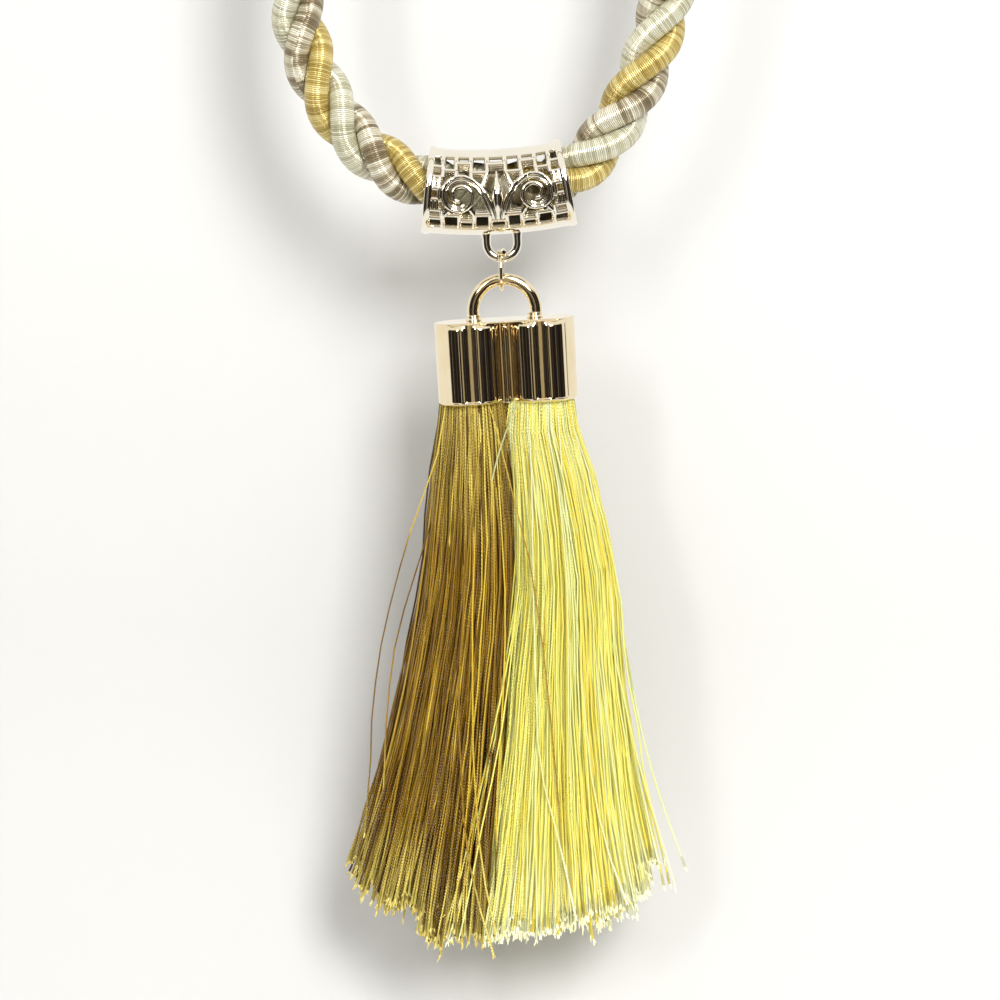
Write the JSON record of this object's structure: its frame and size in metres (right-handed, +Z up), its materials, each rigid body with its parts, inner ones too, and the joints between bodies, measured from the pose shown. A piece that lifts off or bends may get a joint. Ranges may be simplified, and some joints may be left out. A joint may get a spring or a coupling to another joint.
{
  "type": "curtain tieback tassel",
  "caption": "Twisted rope tieback hung by two end loops, with a fretwork bail, linking rings, a fluted cap and a long two-tone strand tassel.",
  "frame": {"origin": "the top of the wall hook's bearing, where both end loops hang", "axes": "+Z up against the hang, -Y towards the viewer, +X to the viewer's right"},
  "size_m": [0.1089, 0.0423, 0.4726],
  "materials": {
    "rope": "satin rayon thread wound on three plies",
    "whipping": "satin thread whipping",
    "end_loop": "twisted satin cord",
    "champagne_metal": "polished pale gold plating",
    "gold_metal": "polished gold plating",
    "skirt_gold": "lustrous twisted thread",
    "skirt_pale": "lustrous twisted thread"
  },
  "bodies": {
    "root": {"rope": "rope", "whipping_left": "whipping", "whipping_right": "whipping", "end_loop_left": "end_loop", "end_loop_right": "end_loop", "bail": "champagne_metal", "jump_ring": "gold_metal", "cap_ring": "gold_metal", "cap": "gold_metal", "skirt_gold": "skirt_gold", "skirt_pale": "skirt_pale"}
  },
  "joints": []
}
